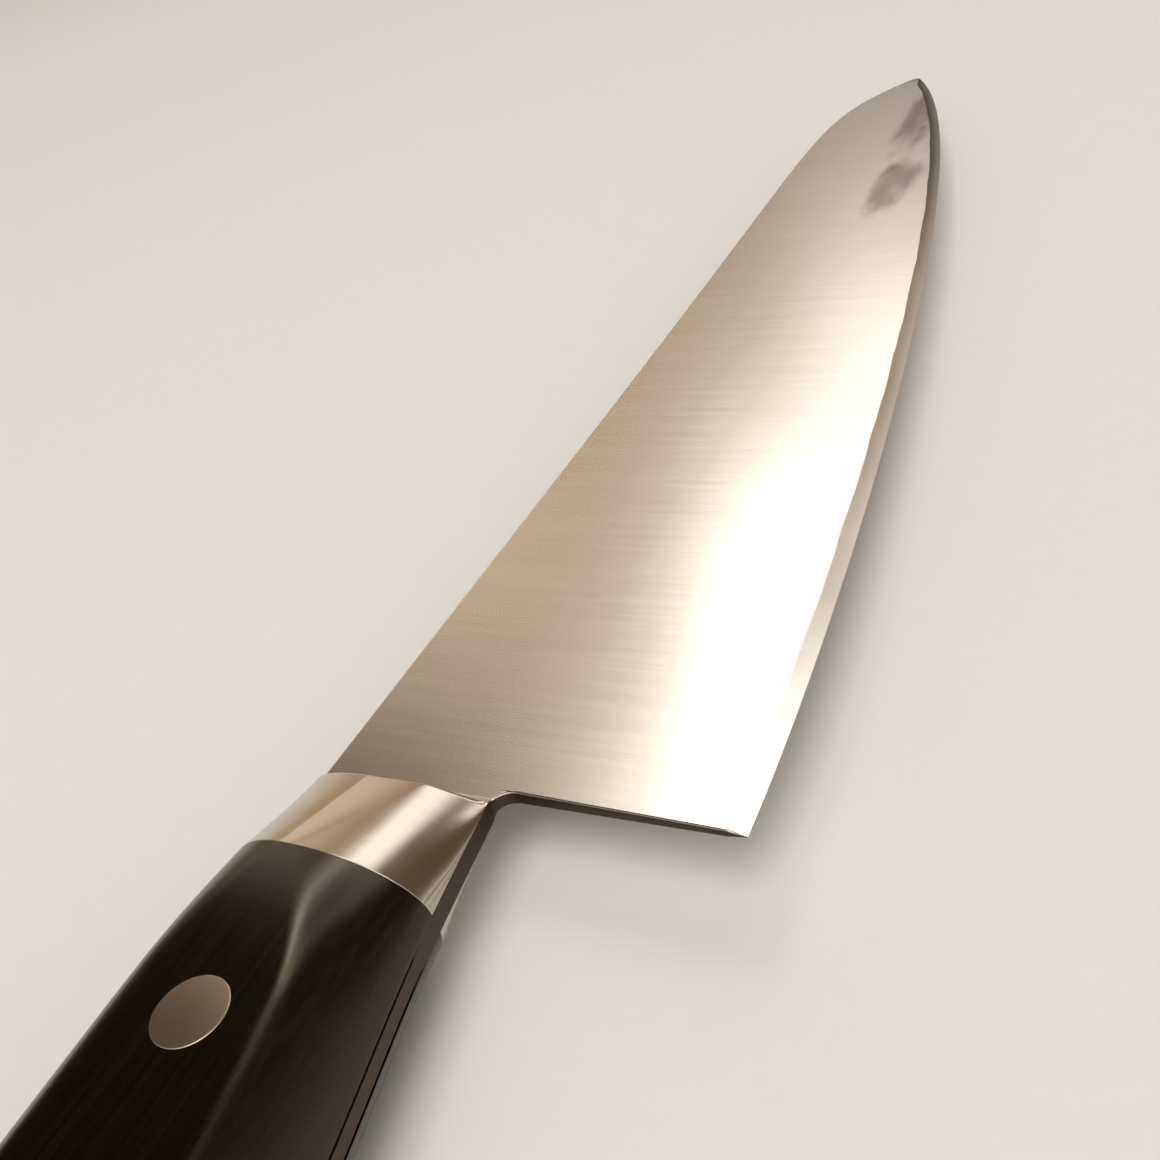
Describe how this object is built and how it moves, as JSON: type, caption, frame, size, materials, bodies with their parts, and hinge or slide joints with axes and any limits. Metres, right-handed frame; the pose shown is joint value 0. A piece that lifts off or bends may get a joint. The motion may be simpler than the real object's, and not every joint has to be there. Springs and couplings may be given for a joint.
{
  "type": "gyuto knife",
  "caption": "Cook's knife with a tall, slim stainless blade curving up to its point, a full tang, a flared steel bolster and a riveted black wood handle.",
  "frame": {"origin": "middle of the bounding box's bottom: the knife lies on its left side, with the left scale's flat on z = 0", "axes": "+X from the butt to the point, +Y from the cutting edge to the spine, +Z out of the blade's right face"},
  "size_m": [0.3328, 0.0458, 0.017],
  "materials": {
    "blade_steel": "satin, ground across the blade",
    "bolster_steel": "polished satin",
    "rivet_steel": "satin, ground flush",
    "scale_wood": "black resin-laminated wood, satin gloss"
  },
  "bodies": {
    "root": {"blade": "blade_steel", "bolster_right": "bolster_steel", "bolster_left": "bolster_steel", "scale_right": "scale_wood", "scale_left": "scale_wood", "front_rivet_male": "rivet_steel", "front_rivet_female": "rivet_steel", "middle_rivet_male": "rivet_steel", "middle_rivet_female": "rivet_steel", "rear_rivet_male": "rivet_steel", "rear_rivet_female": "rivet_steel"}
  },
  "joints": []
}
